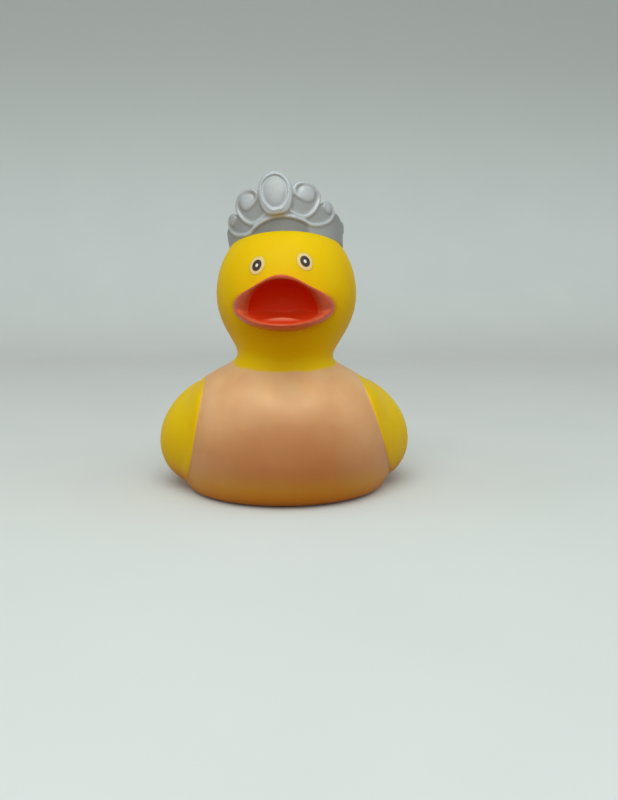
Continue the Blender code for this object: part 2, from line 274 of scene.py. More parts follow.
def makeTail(name, inset, segments, rings):
    def place(row, angle):
        t = (1.0 - cos(pi / 2.0 * row / rings)) ** 0.5 if row else 0.0
        middle = tailPath(t, inset)
        slope = (tailPath(min(1.0, t + 0.01), inset) - tailPath(t - 0.01, inset)).normalized()
        size = sqrt(max(0.0, 1.0 - t ** 2.6)) if row else 0.0
        halfWidth = max(0.0, tail["width"] / 2.0 * size * (1.0 - 0.50 * t) - inset)
        halfThick = max(0.0, tail["thickness"] / 2.0 * size * (1.0 - 0.62 * t) - inset)
        rise = halfThick * sin(angle)
        return (halfWidth * cos(angle), middle.x - rise * slope.y, middle.y + rise * slope.x)

    return shapedSphere(name, segments, rings, place)


# The moulding stands over the origin, midway between the tips of its beak and tail, as the frame does

def endOfTail():
    tip = makeTail("tailProbe", 0.0, 40, 60)
    reach = max(vertex.co.y for vertex in tip.data.vertices)
    bpy.data.objects.remove(tip, do_unlink=True)
    return reach


standOver = Matrix.Translation((0.0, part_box("duck")[1].y - endOfTail(), 0.0))
headFrame = (standOver @ Matrix.Translation((0.0, -body["headForward"] * mm, 0.0))
             @ Matrix.Rotation(radians(-body["headTurn"]), 4, "Z"))


# Beak: flared lips round an open mouth

beak = dict(width=30.2, belowHead=3.2, upperRise=9.7, lowerDrop=6.5, upperLength=12.0, lowerLength=10.5,
            cornerSetback=4.0, mouthWidth=20.4, mouthRise=8.5, mouthDrop=4.0, mouthDepth=11.0,
            mouthCorner=5.0, cornerSag=1.4, tongue=1.1, pinch=0.9, segments=144, rings=120)


def makeBeak(name):
    half = beak["width"] / 2.0
    mouth = beak["mouthWidth"] / 2.0
    rise = beak["upperRise"]
    drop = beak["lowerDrop"]
    mouthRise = beak["mouthRise"]
    mouthDrop = beak["mouthDrop"]
    depth = beak["mouthDepth"]
    corner = body["headDepth"] / 2.0 - beak["cornerSetback"]
    inner = corner + beak["mouthCorner"]
    upper = body["headDepth"] / 2.0 + beak["upperLength"]
    lower = body["headDepth"] / 2.0 + beak["lowerLength"]
    # half width, rise and drop, then the reach of the corners, the upper lip and the lower lip,
    # and how far the outline has gone from the lips' to the mouth's
    stations = [
        (0.0, 0.0, 0.0, corner - 10.5, upper - 23.0, lower - 21.0, 0.0),
        (0.66 * half, 0.30 * rise, 0.45 * drop, corner - 10.5, upper - 23.0, lower - 21.0, 0.0),
        (0.76 * half, 0.45 * rise, 0.62 * drop, corner - 5.5, upper - 14.5, lower - 13.5, 0.0),
        (0.88 * half, 0.68 * rise, 0.80 * drop, corner - 2.5, upper - 8.0, lower - 8.5, 0.0),
        (0.97 * half, 0.90 * rise, 0.95 * drop, corner - 3.4, upper - 4.2, lower - 6.5, 0.0),
        (half, 0.98 * rise, drop, corner - 1.2, upper - 2.0, lower - 4.8, 0.0),
        (0.985 * half, rise, 0.93 * drop, corner + 1.4, upper - 0.9, lower - 2.9, 0.0),
        (0.92 * half, 0.985 * rise, 0.82 * drop, corner + 3.6, upper - 0.1, lower - 0.9, 0.15),
        (0.44 * half + 0.52 * mouth, 0.50 * rise + 0.49 * mouthRise, 0.70 * drop, corner + 5.0,
         upper, lower, 0.55),
        (mouth, mouthRise, mouthDrop, inner - 0.6, upper - 0.5, lower - 0.5, 1.0),
        (0.95 * mouth, 0.95 * mouthRise, 0.92 * mouthDrop, inner - 0.8, upper - 0.3 * depth,
         lower - 0.2 * depth, 1.0),
        (0.78 * mouth, 0.78 * mouthRise, 0.74 * mouthDrop, inner - 1.0, upper - 0.75 * depth,
         lower - 0.55 * depth, 1.0),
        (0.42 * mouth, 0.40 * mouthRise, 0.40 * mouthDrop, inner - 0.6, upper - depth,
         lower - 0.85 * depth, 1.0),
        (0.0, 0.0, 0.0, upper - depth - 0.3, upper - depth - 0.3, upper - depth - 0.3, 1.0),
    ]
    level = headHeight - beak["belowHead"]
    rings = beak["rings"]

    def place(row, angle):
        width, up, down, atCorner, atUpper, atLower, mouthward = alongPoints(stations, row / rings)
        bow = abs(sin(angle))
        swing = bow ** (2.1 - 0.5 * mouthward)
        sag = beak["cornerSag"] * mouthward * min(1.0, width / mouth)
        if sin(angle) > 0.0:
            rounding = (1.0 - mouthward) * (0.72 * bow + 0.28 * bow ** 9) + mouthward * bow ** 1.05
            height = (up + sag) * rounding - sag
            reach = atCorner + (atUpper - atCorner) * swing
        else:
            height = (sag - down) * ((1.0 - mouthward) * bow + mouthward * bow ** 1.2) - sag
            reach = atCorner + (atLower - atCorner) * swing
        across = width * cos(angle)
        # pinch between the lips, out from the mouth's corners
        pinch = beak["pinch"] * exp(-((height + sag) / 0.7) ** 2) * smooth(atUpper - upper + 5.0)
        reach -= pinch * (1.0 - mouthward)
        # the tongue swells out of the mouth's floor
        floorward = mouthward * smooth((-height - 1.6) / 1.4) if row / rings > 0.72 else 0.0
        swell = exp(-(across / 5.2) ** 2 - ((reach - lower + 3.4) / 1.1) ** 2)
        height += beak["tongue"] * floorward * swell
        return (across, -reach, level + height)

    piece = shapedSphere(name, beak["segments"], rings, place)
    moved(piece, headFrame)
    return piece


# Crown: a flared ring with an arched rim, scrolls of raised wire and an oval jewel.
# Places on its face are pairs: along the face from the jewel's middle, and height over its edge.

crown = dict(width=35.8, flare=0.1, wall=2.6, lap=0.9, lean=15.0, roll=6.5, turn=-4.2, band=5.6, sink=2.5,
             rimRounding=0.7, jewelWidth=10.2, jewelHeight=13.4, jewelRise=11.1, jewelRelief=2.0,
             wire=0.55, segments=360, voxel=0.28)
# rim arches: place along, height of their middle, radius
rimArches = [(0.0, 10.6, 5.0), (8.7, 9.1, 4.7), (16.6, 5.4, 3.7), (21.5, 2.2, 4.6),
             (34.0, 2.0, 4.8), (45.4, 2.0, 4.8), (56.8, 2.0, 4.8)]
archLine = [(-9.4, 1.3), (-8.4, 1.9), (-6.0, 3.0), (-3.0, 4.0), (0.0, 4.3),
            (3.0, 4.0), (6.0, 3.0), (8.4, 1.9), (9.4, 1.3)]
loopLine = [(3.6, 5.5), (5.6, 4.2), (7.9, 3.7), (10.2, 4.9), (12.0, 7.1), (12.9, 9.6), (11.9, 12.0),
            (9.9, 13.4), (7.6, 13.7), (5.8, 12.9), (5.4, 11.3), (6.4, 9.8), (8.2, 8.7)]
sideLine = [(8.0, 1.9), (10.0, 1.3), (12.2, 1.4), (14.6, 2.1), (17.0, 3.5), (18.6, 5.3), (18.4, 7.3),
            (16.8, 8.6), (15.1, 8.3), (14.6, 7.0), (15.6, 6.1)]
backLine = [(-4.9, 2.4), (-4.5, 4.4), (-2.8, 6.2), (0.0, 7.0), (2.8, 6.2), (4.5, 4.4), (4.9, 2.4)]


def crownPoint(along, height, proud):
    radius = crown["width"] / 2.0 + crown["flare"] * height + proud
    angle = along / (crown["width"] / 2.0) + radians(crown["turn"])
    return Vector((radius * sin(angle), -radius * cos(angle), height))


def rimHeight(along):
    halfRound = pi * crown["width"] / 2.0
    best = crown["band"]
    for middle, height, radius in rimArches:
        for side in (1.0, -1.0):
            away = (along - side * middle + halfRound) % (2.0 * halfRound) - halfRound
            if abs(away) < radius:
                best = max(best, height + sqrt(radius * radius - away * away))
    return best


def makeCrownRing(name):
    # a ring whose section runs up the outer face, over the rim and down the inner face
    deselectAll()
    bpy.ops.mesh.primitive_torus_add(major_segments=crown["segments"], minor_segments=36,
                                     major_radius=1.0, minor_radius=0.25)
    piece = bpy.context.object
    piece.name = name
    rounding = crown["rimRounding"]
    wall = crown["wall"]
    sink = crown["sink"]
    for vertex in piece.data.vertices:
        x, y, z = vertex.co
        around = atan2(y, x)
        section = (atan2(z, sqrt(x * x + y * y) - 1.0) / (2.0 * pi)) % 1.0
        along = around * crown["width"] / 2.0
        top = rimHeight(along)
        # height over the face's edge, and how proud of its outer face
        corners = [(-sink, 0.0), (0.0, 0.0), (0.5 * top, 0.0), (top - rounding, 0.0), (top, -rounding),
                   (top, rounding - wall), (top - rounding, -wall), (0.5 * top, -wall),
                   (-sink, -wall - 1.0)]
        place = section * len(corners)
        i = int(place) % len(corners)
        j = (i + 1) % len(corners)
        u = place - int(place)
        height = corners[i][0] * (1.0 - u) + corners[j][0] * u
        proud = corners[i][1] * (1.0 - u) + corners[j][1] * u
        vertex.co = crownPoint(along, height, proud) * mm
    faceOutwards(piece)
    return piece


def makeWire(name, points, radius, proud, side=1.0, middle=0.0, taper=1.0):
    # raised wire along a line on the crown's face; taper is the share of its radius left at its end
    deselectAll()
    bpy.ops.curve.primitive_bezier_curve_add(radius=mm, location=(0, 0, 0))
    piece = bpy.context.object
    piece.name = name
    line = piece.data
    line.splines.clear()
    spline = line.splines.new("BEZIER")
    spline.bezier_points.add(len(points) - 1)
    for i, (along, height) in enumerate(points):
        point = spline.bezier_points[i]
        point.co = crownPoint(middle + side * along, height, proud) * mm
        point.handle_left_type = "AUTO"
        point.handle_right_type = "AUTO"
        late = max(0.0, (i / (len(points) - 1) - 0.5) / 0.5)
        point.radius = 1.0 - (1.0 - taper) * late
    line.dimensions = "3D"
    line.resolution_u = 10
    line.bevel_depth = radius * mm
    line.bevel_resolution = 3
    line.use_fill_caps = True
    makeActive(piece)
    bpy.ops.object.convert(target="MESH")
    faceOutwards(bpy.context.object)
    return bpy.context.object


def jewelReach(angle, narrow):
    # outline of the jewel: round over the top, straighter down to a flat foot; narrow draws the foot in
    halfWidth = crown["jewelWidth"] / 2.0
    halfHeight = crown["jewelHeight"] / 2.0
    middle = 0.06 * crown["jewelHeight"]
    if sin(angle) >= 0.0:
        return halfWidth * cos(angle), middle + 0.88 * halfHeight * sin(angle)
    low = -sin(angle)
    side = 1.0 if cos(angle) > 0.0 else -1.0
    width = halfWidth * (1.0 - narrow * low ** 1.6)
    return width * side * abs(cos(angle)) ** 0.5, middle - 1.12 * halfHeight * low ** 0.85


def makeJewel(name):
    front = crown["width"] / 2.0 + crown["flare"] * crown["jewelRise"]
    relief = crown["jewelRelief"]
    # size, how proud of the wall, and how far the foot is drawn in: from inside the wall, over the
    # plinth, up the raised rim and over the stone
    stations = [(0.0, 0.5 - crown["wall"], 0.1), (0.88, 0.5 - crown["wall"], 0.1), (1.0, -1.0, 0.1),
                (1.0, 0.35 * relief, 0.1), (0.985, 0.62 * relief, 0.12), (0.93, 0.76 * relief, 0.2),
                (0.88, 0.84 * relief, 0.3), (0.84, 1.0 * relief, 0.33), (0.79, 0.98 * relief, 0.36),
                (0.755, 0.74 * relief, 0.38), (0.70, 0.78 * relief, 0.38), (0.55, 0.96 * relief, 0.36),
                (0.30, 1.08 * relief, 0.3), (0.0, 1.12 * relief, 0.3)]
    rings = 78

    def place(row, angle):
        size, proud, narrow = alongPoints(stations, row / rings)
        across, up = jewelReach(angle, narrow)
        size = max(0.0, size)
        return (across * size, -front - proud, crown["jewelRise"] + up * size)

    piece = shapedSphere(name, 96, rings, place)
    moved(piece, Matrix.Rotation(radians(crown["turn"]), 4, "Z"))
    return piece


def makeBulb(name, side, along, height, radius, relief):
    # smooth swelling in the curl of a scroll
    deselectAll()
    bpy.ops.mesh.primitive_uv_sphere_add(segments=32, ring_count=16, radius=radius * mm,
                                         location=(0, 0, 0))
    piece = bpy.context.object
    piece.name = name
    for vertex in piece.data.vertices:
        x, y, z = vertex.co / mm
        vertex.co = crownPoint(side * (along + x), height + z, relief * y / radius) * mm
    faceOutwards(piece)
    return piece


def crownFrame():
    across = (crown["width"] / 2.0 - crown["lap"]) / (body["headWidth"] / 2.0)
    seat = body["headRise"] * sqrt(1.0 - across * across)
    return (headFrame @ Matrix.Translation((0.0, 0.0, headHeight * mm))
            @ Matrix.Rotation(radians(-crown["lean"]), 4, "X")
            @ Matrix.Translation((0.0, 0.0, seat * mm))
            @ Matrix.Rotation(radians(-crown["roll"]), 4, "Y"))


def makeCrown():
    wire = crown["wire"]
    pieces = [makeCrownRing("crownRing"), makeJewel("jewel"),
              makeWire("archWire", archLine, 1.1 * wire, 0.05)]
    for side in (1.0, -1.0):
        pieces.append(makeWire("loopWire", loopLine, 1.2 * wire, 0.05, side, taper=0.7))
        pieces.append(makeWire("sideWire", sideLine, 1.1 * wire, 0.0, side, taper=0.7))
        pieces.append(makeBulb("loopBulb", side, 9.0, 10.6, 2.7, 0.7))
        pieces.append(makeBulb("sideBulb", side, 16.4, 7.0, 1.8, 0.55))
    for middle, _, _ in rimArches[4:]:
        for side in (1.0, -1.0):
            if side > 0.0 or middle < 56.0:
                pieces.append(makeWire("backWire", backLine, 0.9 * wire, -0.1, 1.0, side * middle))
    piece = joined(pieces)
    fused(piece, crown["voxel"], 3)
    moved(piece, crownFrame())
    return piece


# Materials

def linear(hexColour):
    # sRGB hex to the linear numbers that the shaders take
    parts = [int(hexColour[i:i + 2], 16) / 255.0 for i in (1, 3, 5)]
    return tuple(c / 12.92 if c <= 0.04045 else ((c + 0.055) / 1.055) ** 2.4 for c in parts) + (1.0,)


def newMaterial(name):
    material = bpy.data.materials.new(name)
    material.use_nodes = True
    material.node_tree.nodes.clear()
    return material, material.node_tree


def addNode(tree, kind, inputs=None, **settings):
    # inputs: socket name or number -> a value, or an output socket to link from
    node = tree.nodes.new(kind)
    for key, value in settings.items():
        setattr(node, key, value)
    for key, value in (inputs or {}).items():
        if isinstance(value, bpy.types.NodeSocket):
            tree.links.new(value, node.inputs[key])
        else:
            node.inputs[key].default_value = value
    return node


def mathOf(tree, operation, first, second=0.0, third=0.0):
    return addNode(tree, "ShaderNodeMath", {0: first, 1: second, 2: third}, operation=operation).outputs[0]


def rampOf(tree, value, low, high):
    # 0 below low, 1 above high, eased between
    return addNode(tree, "ShaderNodeMapRange", {"Value": value, "From Min": low, "From Max": high},
                   interpolation_type="SMOOTHSTEP").outputs["Result"]


def blendColour(tree, share, first, second):
    node = tree.nodes.new("ShaderNodeMix")
    node.data_type = "RGBA"
    for number, value in ((0, share), (6, first), (7, second)):
        if isinstance(value, bpy.types.NodeSocket):
            tree.links.new(value, node.inputs[number])
        else:
            node.inputs[number].default_value = value
    return node.outputs[2]


def objectPlace(tree):
    return addNode(tree, "ShaderNodeTexCoord").outputs["Object"]


def noiseOf(tree, place, grain, detail=2.0, roughness=0.5):
    # noise whose lumps are about grain millimetres across
    return addNode(tree, "ShaderNodeTexNoise",
                   {"Vector": place, "Scale": 1.0 / (grain * mm), "Detail": detail,
                    "Roughness": roughness}).outputs["Fac"]


# low is a darker, warmer coat colour: lower down it is partly a thinner coat and partly painted shade, and
# mid-breast it is painted shade; base is painted shade on the bare yellow near the floor
vinylFinish = dict(yellow="#F4CE00", deep="#ECB800", peach="#F2C48E", peachDeep="#E6B078", low="#AE6420",
                   base="#E69A18", overspray="#C4621C", neckLine=43.15, neckTilt=0.085,
                   baseFadeLow=-2.0, baseFadeHigh=13.0,
                   # the mask's edge on each side: its place across at the floor, and its slope
                   maskLeft=(35.6, 0.345), maskRight=(32.9, 0.19))


def softVinyl():
    # PVC, cast in a heated mould: an even satin skin that glows a little where light goes into it.
    # The peach coat is sprayed through a mask, sharp at the wings and thin towards neck and base.
    material, tree = newMaterial("castVinylWithSprayedPeachCoat")
    place = objectPlace(tree)
    parts = addNode(tree, "ShaderNodeSeparateXYZ", {0: place}).outputs
    height = parts["Z"]
    mottle = noiseOf(tree, place, 14.0)
    speckle = noiseOf(tree, place, 0.9, 3.0)
    yellow = blendColour(tree, rampOf(tree, mottle, 0.35, 0.75), linear(vinylFinish["yellow"]),
                         linear(vinylFinish["deep"]))
    yellow = blendColour(tree, 0.35, linear(vinylFinish["yellow"]), yellow)
    peach = blendColour(tree, rampOf(tree, mottle, 0.3, 0.8), linear(vinylFinish["peach"]),
                        linear(vinylFinish["peachDeep"]))
    # the coat turns warmer and darker lower down: partly a thinner coat, partly painted shade and painted
    # warm bounce light from below
    lowShadeAndThinCoat = mathOf(tree, "SUBTRACT", 1.0, rampOf(tree, height, 0.0, 38.0 * mm))
    peach = blendColour(tree, mathOf(tree, "MULTIPLY", lowShadeAndThinCoat, 0.55), peach, linear(vinylFinish["low"]))
    # a darker, browner patch in the middle of the breast: painted shade
    aside = mathOf(tree, "DIVIDE", mathOf(tree, "ADD", parts["X"], 1.0 * mm), 30.0 * mm)
    below = mathOf(tree, "DIVIDE", mathOf(tree, "SUBTRACT", height, 12.0 * mm), 23.0 * mm)
    away = mathOf(tree, "ADD", mathOf(tree, "MULTIPLY", aside, aside),
                  mathOf(tree, "MULTIPLY", below, below))
    middle = mathOf(tree, "SUBTRACT", 1.0, rampOf(tree, away, 0.0, 1.0))
    middle = mathOf(tree, "MULTIPLY", middle, 0.58)
    peach = blendColour(tree, middle, peach, linear(vinylFinish["low"]))
    # the bare yellow is painted a darker orange near the base: painted shade and painted warm bounce light
    baseShadeNearFloor = mathOf(tree, "SUBTRACT", 1.0, rampOf(tree, height, 0.0, 12.0 * mm))
    yellow = blendColour(tree, baseShadeNearFloor, yellow, linear(vinylFinish["base"]))
    # where the coat is
    offBody = addNode(tree, "ShaderNodeAttribute", attribute_name="offBody").outputs["Fac"]
    wander = mathOf(tree, "MULTIPLY_ADD", noiseOf(tree, place, 5.0), 0.9 * mm, -0.45 * mm)
    shakyHeight = mathOf(tree, "ADD", height, wander)
    line = vinylFinish["neckLine"]
    onBody = mathOf(tree, "SUBTRACT", 1.0, rampOf(tree, offBody, 0.0, 0.30))
    neckTilt = mathOf(tree, "MULTIPLY", parts["Y"], vinylFinish["neckTilt"])
    overLine = rampOf(tree, mathOf(tree, "SUBTRACT", shakyHeight, neckTilt), (line - 0.5) * mm,
                      (line + 0.4) * mm)
    underNeck = mathOf(tree, "SUBTRACT", 1.0, overLine)
    overBase = rampOf(tree, shakyHeight, vinylFinish["baseFadeLow"] * mm,
                      vinylFinish["baseFadeHigh"] * mm)
    coat = mathOf(tree, "MULTIPLY", mathOf(tree, "MULTIPLY", onBody, underNeck), overBase)
    colour = blendColour(tree, coat, yellow, peach)
    # overspray of the beak's red on the skin next to it
    beakNear = addNode(tree, "ShaderNodeAttribute", attribute_name="beakNear").outputs["Fac"]
    colour = blendColour(tree, mathOf(tree, "MULTIPLY", beakNear, 0.45), colour,
                         linear(vinylFinish["overspray"]))
    grain = addNode(tree, "ShaderNodeBump", {"Strength": 0.10, "Distance": 0.05 * mm, "Height": speckle})
    rough = mathOf(tree, "MULTIPLY_ADD", speckle, 0.10, 0.40)
    shine = mathOf(tree, "MULTIPLY_ADD", coat, 0.20, 0.08)
    surface = addNode(tree, "ShaderNodeBsdfPrincipled",
                      {"Base Color": colour, "Roughness": rough, "IOR": 1.53, "Subsurface Weight": 0.35,
                       "Subsurface Radius": (1.0, 0.55, 0.10), "Subsurface Scale": 3.5 * mm,
                       "Specular IOR Level": shine,
                       "Normal": grain.outputs[0]})
    addNode(tree, "ShaderNodeOutputMaterial", {"Surface": surface.outputs[0]})
    return material


# inside the mouth the red is deeper, partly as painted shade; the up-facing floor of the mouth is painted
# darker as shade, and the tongue's front lighter as a painted highlight
beakFinish = dict(red="#E4683C", lip="#CE4E26", mouth="#E2340A", mouthFloorShade="#D83A14", tongue="#F08264")


def beakPaint():
    # brushed-on red vinyl paint, glossier than the skin; inside the mouth it is a deeper red, partly
    # painted shade, partly the lips' paint looking more orange over the yellow
    material, tree = newMaterial("brushedRedVinylPaint")
    place = objectPlace(tree)
    mouthDeep = addNode(tree, "ShaderNodeAttribute", attribute_name="mouthDeep").outputs["Fac"]
    streak = noiseOf(tree, place, 3.0, 3.0)
    red = blendColour(tree, rampOf(tree, streak, 0.1, 1.0), linear(beakFinish["red"]),
                      linear(beakFinish["lip"]))
    colour = blendColour(tree, mouthDeep, red, linear(beakFinish["mouth"]))
    # the up-facing floor inside the mouth is painted darker: painted shade
    mouthFloorShade = addNode(tree, "ShaderNodeAttribute", attribute_name="mouthFloorShade").outputs["Fac"]
    colour = blendColour(tree, mouthFloorShade, colour, linear(beakFinish["mouthFloorShade"]))
    # the front of the tongue is painted light pink: a painted highlight
    tongue = addNode(tree, "ShaderNodeAttribute", attribute_name="tongue").outputs["Fac"]
    colour = blendColour(tree, tongue, colour, linear(beakFinish["tongue"]))
    skin = noiseOf(tree, place, 1.2, 2.0)
    grain = addNode(tree, "ShaderNodeBump", {"Strength": 0.08, "Distance": 0.06 * mm, "Height": skin})
    rough = mathOf(tree, "MULTIPLY_ADD", skin, 0.12, 0.26)
    surface = addNode(tree, "ShaderNodeBsdfPrincipled",
                      {"Base Color": colour, "Roughness": rough, "IOR": 1.5, "Normal": grain.outputs[0],
                       "Specular IOR Level": mathOf(tree, "MULTIPLY_ADD", tongue, 0.5,
                                                    mathOf(tree, "MULTIPLY_ADD", mouthDeep, -0.25, 0.36))})
    addNode(tree, "ShaderNodeOutputMaterial", {"Surface": surface.outputs[0]})
    return material


# shade mottles the silver and also darkens the flat wall as painted shade; the next darker grey is painted
# shade under the front arch, and a little darker on the jewel's stone
crownFinish = dict(silver="#C8D2D4", shade="#A2A8A5", archShadeAndStone="#7A7C76", bare="#F0CC10",
                   underArch=0.75, onStone=0.28)


def crownPaint():
    # silver paint with fine aluminium flake over vinyl: a soft metallic grey, painted darker on the flat
    # wall as shade and lighter on the raised wires as a painted highlight.
    # The inside of the ring was masked, so bare yellow shows there.
    material, tree = newMaterial("sprayedSilverFlakePaint")
    place = objectPlace(tree)
    inside = addNode(tree, "ShaderNodeAttribute", attribute_name="insideRing").outputs["Fac"]
    relief = addNode(tree, "ShaderNodeAttribute", attribute_name="relief").outputs["Fac"]
    flake = noiseOf(tree, place, 0.45, 2.0, 0.7)
    cloud = noiseOf(tree, place, 6.0)
    silver = blendColour(tree, rampOf(tree, cloud, 0.3, 0.75), linear(crownFinish["silver"]),
                         linear(crownFinish["shade"]))
    silver = blendColour(tree, 0.45, linear(crownFinish["silver"]), silver)
    # painted shade on the flat wall, painted highlight on the raised wires
    silver = blendColour(tree, rampOf(tree, relief, 0.05, 0.55), linear(crownFinish["shade"]), silver)
    # painted shade under the front arch, and a little darker on the jewel's stone
    archShadeAndStone = addNode(tree, "ShaderNodeAttribute", attribute_name="archShadeAndStone").outputs["Fac"]
    silver = blendColour(tree, archShadeAndStone, silver, linear(crownFinish["archShadeAndStone"]))
    colour = blendColour(tree, inside, silver, linear(crownFinish["bare"]))
    metal = mathOf(tree, "MULTIPLY", mathOf(tree, "SUBTRACT", 1.0, inside), 0.25)
    grain = addNode(tree, "ShaderNodeBump", {"Strength": 0.12, "Distance": 0.05 * mm, "Height": flake})
    rough = mathOf(tree, "MULTIPLY_ADD", flake, 0.16, 0.36)
    surface = addNode(tree, "ShaderNodeBsdfPrincipled",
                      {"Base Color": colour, "Roughness": rough, "Metallic": metal, "IOR": 1.5,
                       "Normal": grain.outputs[0]})
    addNode(tree, "ShaderNodeOutputMaterial", {"Surface": surface.outputs[0]})
    return material


eyeFinish = dict(cream="#EAD188", edge="#EDCB52", black="#2A1D10", white="#F2EBDD")
eye = dict(ringWidth=4.85, ringHeight=5.95, pupilWidth=2.9, pupilHeight=3.6, dotWidth=0.85, dotHeight=1.1,
           tilt=14.0, paint=0.05, places=[(-9.76, 72.26, -1.0), (4.26, 73.41, 1.0)])


def eyePaint():
    # pad-printed enamel: three flat colours, one over the other, with a low gloss
    material, tree = newMaterial("padPrintedEnamel")
    spot = addNode(tree, "ShaderNodeAttribute", attribute_name="eyePlace").outputs["Vector"]
    parts = addNode(tree, "ShaderNodeSeparateXYZ", {0: spot}).outputs

    def inOval(width, height, soft):
        # distance from the middle, as a share of the oval's own reach
        across = mathOf(tree, "DIVIDE", parts["X"], width / 2.0)
        up = mathOf(tree, "DIVIDE", parts["Y"], height / 2.0)
        reach = mathOf(tree, "SQRT", mathOf(tree, "ADD", mathOf(tree, "MULTIPLY", across, across),
                                            mathOf(tree, "MULTIPLY", up, up)))
        return mathOf(tree, "SUBTRACT", 1.0, rampOf(tree, reach, 1.0 - soft, 1.0 + soft))

    edge = blendColour(tree, inOval(0.94 * eye["ringWidth"], 0.94 * eye["ringHeight"], 0.10),
                       linear(eyeFinish["edge"]), linear(eyeFinish["cream"]))
    colour = blendColour(tree, inOval(eye["pupilWidth"], eye["pupilHeight"], 0.07), edge,
                         linear(eyeFinish["black"]))
    colour = blendColour(tree, inOval(eye["dotWidth"], eye["dotHeight"], 0.16), colour,
                         linear(eyeFinish["white"]))
    skin = noiseOf(tree, objectPlace(tree), 0.8, 2.0)
    rough = mathOf(tree, "MULTIPLY_ADD", skin, 0.10, 0.30)
    surface = addNode(tree, "ShaderNodeBsdfPrincipled",
                      {"Base Color": colour, "Roughness": rough, "IOR": 1.5})
    addNode(tree, "ShaderNodeOutputMaterial", {"Surface": surface.outputs[0]})
    return material


# Build

def makeDuckBody(beakPiece):
    trunk = makeTrunk("trunk", 0.0, body["segments"], body["rows"])
    limbs = [makeWing("wingLeft", 1.0, 0.0, 96, 96), makeWing("wingRight", -1.0, 0.0, 96, 96),
             makeTail("tail", 0.0, 96, 72)]
    trunkTree = skinTree(trunk)
    limbTrees = [skinTree(limb) for limb in limbs]
    piece = joined([trunk] + limbs)
    fused(piece, body["voxel"], 9)
    # the wings' front ends run smoothly out of the body
    ends = piece.vertex_groups.new(name="wingEnds")
    for i, vertex in enumerate(piece.data.vertices):
        x, y, z = vertex.co / mm
        share = smooth((-4.0 - y) / 6.0) * smooth((abs(x) - 19.0) / 4.0)
        share *= smooth((40.0 - z) / 4.0) * smooth((z - 1.0) / 3.0)
        if share > 0.0:
            ends.add([i], share, "REPLACE")
    applyNew(piece, "ease", "SMOOTH", factor=0.5, iterations=90, vertex_group="wingEnds")
    piece.vertex_groups.clear()
    # the step at the mask's edge, pushed out along normals that are taken before anything moves
    outwards = [vertex.normal.copy() for vertex in piece.data.vertices]
    for vertex, outward in zip(piece.data.vertices, outwards):
        x, y, z = vertex.co / mm
        if y > -2.0 or z > 44.0:
            continue
        level, slope = vinylFinish["maskLeft"] if x > 0.0 else vinylFinish["maskRight"]
        beyond = abs(x) - level + slope * z
        share = smooth((-2.0 - y) / 8.0) * smooth((36.0 - z) / 5.0) * smooth((z - 3.0) / 5.0)
        fade = 1.0 - smooth((beyond - 2.0) / 6.0)
        lift = wing["step"] * share * fade * smooth((beyond + 0.5) / 1.0)
        # two low swells on the breast with a hollow between, under the neck
        for across, height, reach, rise in body["breastSwells"]:
            nearness = exp(-((x - across) / reach) ** 2 - ((z - height) / reach) ** 2)
            lift += rise * nearness * smooth((-12.0 - y) / 6.0)
        vertex.co += outward * lift * mm
    print("outer skin", len(piece.data.polygons), "faces")
    # the air space, one wall further in, and the vent in the base
    wall = body["wall"]
    hollow = joined([makeTrunk("hollow", wall, body["hollowSegments"], body["hollowRows"]),
                     makeWing("hollowWingLeft", 1.0, wall, 32, 32),
                     makeWing("hollowWingRight", -1.0, wall, 32, 32),
                     makeTail("hollowTail", wall, 32, 24)])
    fused(hollow, body["hollowVoxel"], 2)
    deselectAll()
    bpy.ops.mesh.primitive_cylinder_add(vertices=48, radius=body["ventHole"] / 2.0 * mm,
                                        depth=4.0 * wall * mm, location=(0, 0, 0))
    vent = bpy.context.object
    for cutter in (hollow, vent):
        applyNew(piece, "cut", "BOOLEAN", operation="DIFFERENCE", solver="EXACT", object=cutter)
        bpy.data.objects.remove(cutter, do_unlink=True)
    # how far each point is from the trunk's own skin, less how far from the nearest limb's
    offBody = piece.data.attributes.new("offBody", "FLOAT", "POINT")
    values = []
    for vertex in piece.data.vertices:
        fromTrunk = trunkTree.find_nearest(vertex.co)[3]
        fromLimb = min(tree.find_nearest(vertex.co)[3] for tree in limbTrees)
        values.append((fromTrunk - fromLimb) / mm)
    moved(piece, standOver)
    # in front the coat ends at a straight edge of the mask, further out towards the base
    for i, vertex in enumerate(piece.data.vertices):
        vertex.co.z = max(vertex.co.z, 0.0)      # the flat base stays on the floor
        x, y, z = vertex.co / mm
        level, slope = vinylFinish["maskLeft"] if x > 0.0 else vinylFinish["maskRight"]
        beyond = abs(x) - level + slope * z
        values[i] = beyond + (max(beyond, values[i]) - beyond) * smooth((y + 9.0) / 4.0)
    offBody.data.foreach_set("value", values)
    # how near the beak is, from 1 at its skin to 0 at a millimetre and a half
    beakTree = skinTree(beakPiece)
    beakNear = piece.data.attributes.new("beakNear", "FLOAT", "POINT")
    nears = []
    for vertex in piece.data.vertices:
        found = beakTree.find_nearest(vertex.co, 3.0 * mm)
        nears.append(max(0.0, 1.0 - found[3] / (1.5 * mm)) if found[3] is not None else 0.0)
    beakNear.data.foreach_set("value", nears)
    return piece


